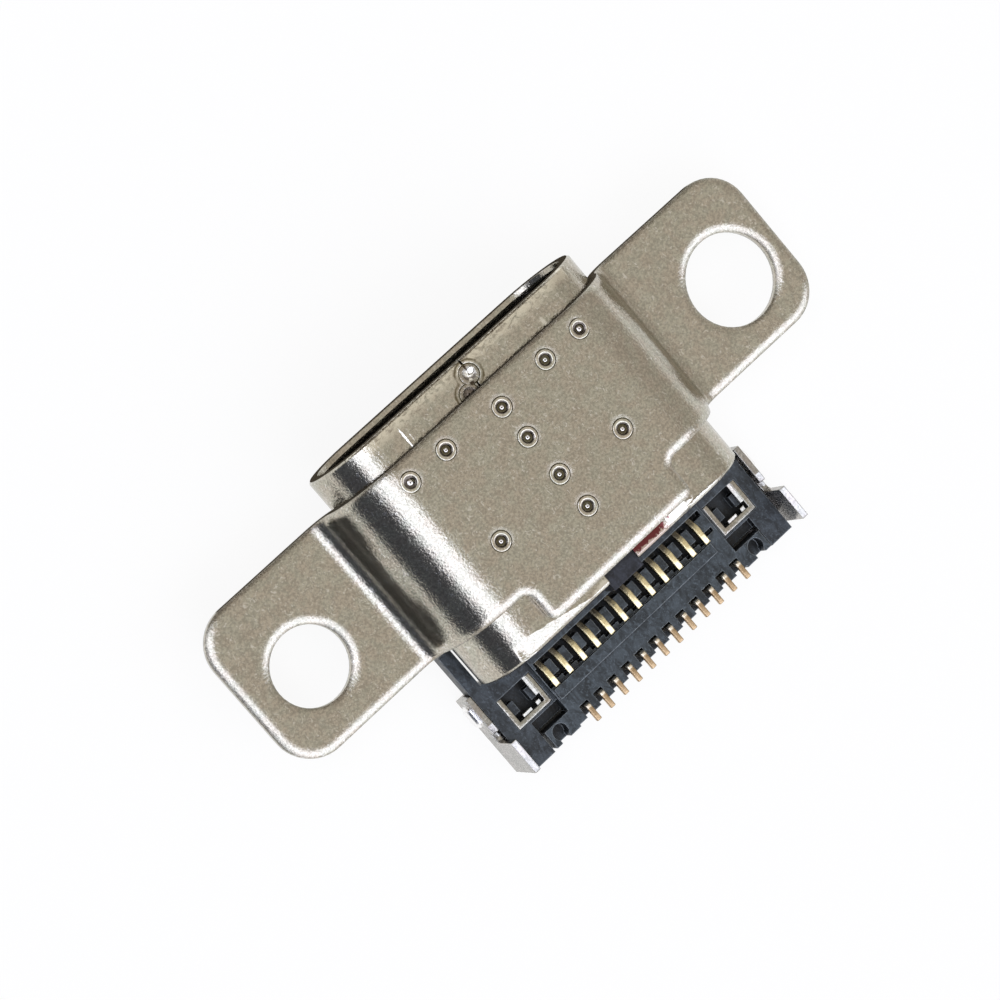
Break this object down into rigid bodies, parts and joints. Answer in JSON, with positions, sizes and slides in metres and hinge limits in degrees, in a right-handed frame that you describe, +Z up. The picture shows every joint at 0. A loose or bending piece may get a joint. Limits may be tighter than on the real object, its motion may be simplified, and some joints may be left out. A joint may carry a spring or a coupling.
{
  "type": "usb-c board socket",
  "caption": "Board-mounted data and power socket with a flat-oval metal shell, a bent metal cover with two screw ears and two staggered rows of solder tails.",
  "frame": {"origin": "point of the shell's flat underside on the mid-plane of the mouth, in line with the two ear screw holes", "axes": "+Z up, away from the flat underside and towards the solder side; the mouth faces -Y and the solder tails point to +Y; X runs along the two screw ears"},
  "size_m": [0.0186, 0.0095, 0.0035],
  "materials": {
    "shell_metal": "satin nickel plate",
    "cover_metal": "satin nickel plate with rolled bright edges",
    "shield_metal": "satin nickel plate",
    "frame_metal": "bright nickel plate",
    "plate_metal": "plain stainless",
    "front_contact_gold": "gold plate, bright",
    "rear_contact_gold": "gold plate, worn satin",
    "housing_plastic": "fine grain",
    "insert_plastic": "fine grain",
    "tongue_plastic": "smooth"
  },
  "bodies": {
    "root": {"inner_shell": "shell_metal", "outer_cover": "cover_metal", "rear_shield": "shield_metal", "left_ground_frame": "frame_metal", "right_ground_frame": "frame_metal", "mid_plate": "plate_metal", "upper_ground_pad": "plate_metal", "lower_ground_pad": "plate_metal", "housing": "housing_plastic", "tail_insert": "insert_plastic", "tongue": "tongue_plastic", "lower_contact_01": "front_contact_gold", "lower_contact_02": "front_contact_gold", "lower_contact_03": "front_contact_gold", "lower_contact_04": "front_contact_gold", "lower_contact_05": "front_contact_gold", "lower_contact_06": "front_contact_gold", "lower_contact_07": "front_contact_gold", "lower_contact_08": "front_contact_gold", "lower_contact_09": "front_contact_gold", "lower_contact_10": "front_contact_gold", "lower_contact_11": "front_contact_gold", "lower_contact_12": "front_contact_gold", "upper_contact_01": "rear_contact_gold", "upper_contact_02": "rear_contact_gold", "upper_contact_03": "rear_contact_gold", "upper_contact_04": "rear_contact_gold", "upper_contact_05": "rear_contact_gold", "upper_contact_06": "rear_contact_gold", "upper_contact_07": "rear_contact_gold", "upper_contact_08": "rear_contact_gold", "upper_contact_09": "rear_contact_gold", "upper_contact_10": "rear_contact_gold", "upper_contact_11": "rear_contact_gold", "upper_contact_12": "rear_contact_gold"}
  },
  "joints": []
}
